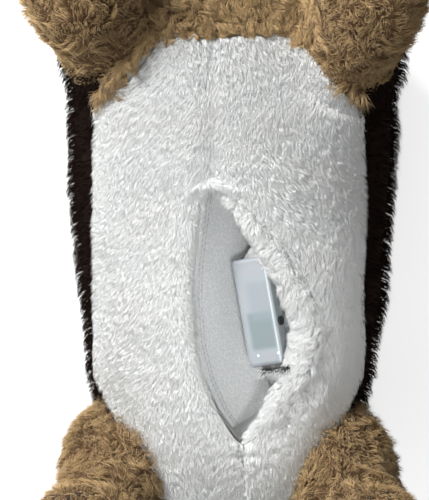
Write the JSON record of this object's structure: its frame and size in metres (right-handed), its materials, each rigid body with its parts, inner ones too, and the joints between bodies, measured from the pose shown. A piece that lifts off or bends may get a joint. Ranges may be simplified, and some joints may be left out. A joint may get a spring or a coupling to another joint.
{
  "type": "plush dog",
  "caption": "Plush chihuahua lying on its back, with tan legs and head, a white belly, dark sides and a belly pocket that holds a removable sound box.",
  "frame": {"origin": "on the flattened back that the toy lies on, below the middle of the belly", "axes": "+Z out of the belly, away from the surface that the toy lies on; +Y towards the head; +X towards the dog's own left"},
  "size_m": [0.2352, 0.5578, 0.1861],
  "materials": {
    "white_pile": "short white plush pile",
    "dark_brown_pile": "short near-black brown plush pile",
    "tan_pile": "long fluffy tan pile",
    "ear_lining": "short pinkish plush",
    "loop_tape": "light grey loop tape with a fine sparkle",
    "white_lining": "white woven lining and filling",
    "white_thread": "white sewing thread",
    "brown_thread": "dark brown embroidery thread",
    "frosted_plastic": "frosted translucent bluish plastic",
    "white_plastic": "milky white plastic",
    "black_plastic": "glossy black plastic",
    "lamp_plastic": "clear lamp plastic",
    "circuit_board": "dark green circuit board",
    "steel": "plain nickel-plated steel"
  },
  "bodies": {
    "torso": {"torso": "dark_brown_pile", "belly_panel_right": "white_pile", "belly_panel_left": "white_pile", "chest_bib": "tan_pile", "centre_seam": "white_thread", "pocket_lining": "white_lining", "pocket_wadding": "white_lining"},
    "opening_lip": {"opening_lip_left": "white_pile", "hook_strip": "loop_tape"},
    "under_flap": {"under_flap": "loop_tape", "flap_stitching_outer": "white_thread", "flap_stitching_inner": "white_thread"},
    "module": {"module_front_case": "frosted_plastic", "module_back_case": "white_plastic", "battery_door": "white_plastic", "door_screw": "steel", "circuit_board": "circuit_board", "button_cell_1": "steel", "button_cell_2": "steel", "button_cell_3": "steel", "cell_contact_rear": "steel", "cell_contact_front": "steel", "speaker": "black_plastic", "indicator_led_right": "lamp_plastic", "indicator_led_left": "lamp_plastic"},
    "push_button": {"push_button": "black_plastic"},
    "front_leg_left": {"front_leg_left": "tan_pile", "front_toe_stitching_left": "brown_thread"},
    "front_leg_right": {"front_leg_right": "tan_pile", "front_toe_stitching_right": "brown_thread"},
    "hind_leg_left": {"hind_leg_left": "tan_pile", "hind_toe_stitching_left": "brown_thread"},
    "hind_leg_right": {"hind_leg_right": "tan_pile", "hind_toe_stitching_right": "brown_thread"},
    "neck": {"neck": "tan_pile"},
    "head": {"head": "tan_pile", "muzzle": "tan_pile", "eye_left": "black_plastic", "eye_right": "black_plastic", "eye_washer_left": "white_plastic", "eye_washer_right": "white_plastic", "nose": "black_plastic", "nose_washer": "white_plastic", "lip_stitching": "brown_thread", "mouth_stitching": "brown_thread"},
    "ear_left": {"ear_left": "tan_pile", "inner_ear_left": "ear_lining"},
    "ear_right": {"ear_right": "tan_pile", "inner_ear_right": "ear_lining"},
    "tail": {"tail": "tan_pile"}
  },
  "joints": [
    {"name": "lip_fold", "type": "hinge", "parent": "torso", "child": "opening_lip", "pos_m": [0.05105, -0.0365, 0.12378], "axis": [0, 1, 0], "range_deg": [0, 35], "stiffness_Nm_per_rad": 0.15},
    {"name": "under_flap_swing", "type": "hinge", "parent": "torso", "child": "under_flap", "pos_m": [-0.01946, -0.033, 0.118], "axis": [0, -1, 0], "range_deg": [-1, 4], "stiffness_Nm_per_rad": 0.06},
    {"name": "module_lift", "type": "slide", "parent": "torso", "child": "module", "axis": [-0.4924, -0.0868, 0.866], "range_m": [0, 0.12]},
    {"name": "button_press", "type": "slide", "parent": "module", "child": "push_button", "axis": [-0.8529, -0.1504, -0.5], "range_m": [0, 0.0008], "stiffness_N_per_m": 400},
    {"name": "front_leg_left_swing", "type": "hinge", "parent": "torso", "child": "front_leg_left", "pos_m": [0.06, 0.108, 0.095], "axis": [1, 0, 0], "range_deg": [-12, 12], "stiffness_Nm_per_rad": 1.2},
    {"name": "front_leg_right_swing", "type": "hinge", "parent": "torso", "child": "front_leg_right", "pos_m": [-0.062, 0.114, 0.095], "axis": [1, 0, 0], "range_deg": [-12, 12], "stiffness_Nm_per_rad": 1.2},
    {"name": "hind_leg_left_swing", "type": "hinge", "parent": "torso", "child": "hind_leg_left", "pos_m": [0.06, -0.122, 0.088], "axis": [1, 0, 0], "range_deg": [-12, 12], "stiffness_Nm_per_rad": 1.2},
    {"name": "hind_leg_right_swing", "type": "hinge", "parent": "torso", "child": "hind_leg_right", "pos_m": [-0.06, -0.12, 0.088], "axis": [1, 0, 0], "range_deg": [-12, 12], "stiffness_Nm_per_rad": 1.2},
    {"name": "neck_nod", "type": "hinge", "parent": "torso", "child": "neck", "pos_m": [0, 0.14, 0.064], "axis": [1, 0, 0], "range_deg": [0, 15], "stiffness_Nm_per_rad": 2},
    {"name": "head_turn", "type": "hinge", "parent": "neck", "child": "head", "pos_m": [0, 0.19, 0.06], "axis": [0, 0, 1], "range_deg": [-15, 15], "stiffness_Nm_per_rad": 1},
    {"name": "ear_left_fold", "type": "hinge", "parent": "head", "child": "ear_left", "pos_m": [0.04665, 0.25078, 0.03907], "axis": [0.5026, -0.6623, 0.5557], "range_deg": [-4, 15], "stiffness_Nm_per_rad": 0.2},
    {"name": "ear_right_fold", "type": "hinge", "parent": "head", "child": "ear_right", "pos_m": [-0.04665, 0.25078, 0.03907], "axis": [0.5026, 0.6623, -0.5557], "range_deg": [-4, 15], "stiffness_Nm_per_rad": 0.2},
    {"name": "tail_wag", "type": "hinge", "parent": "torso", "child": "tail", "pos_m": [0, -0.163, 0.058], "axis": [0, 0, 1], "range_deg": [-20, 20], "stiffness_Nm_per_rad": 0.3}
  ]
}
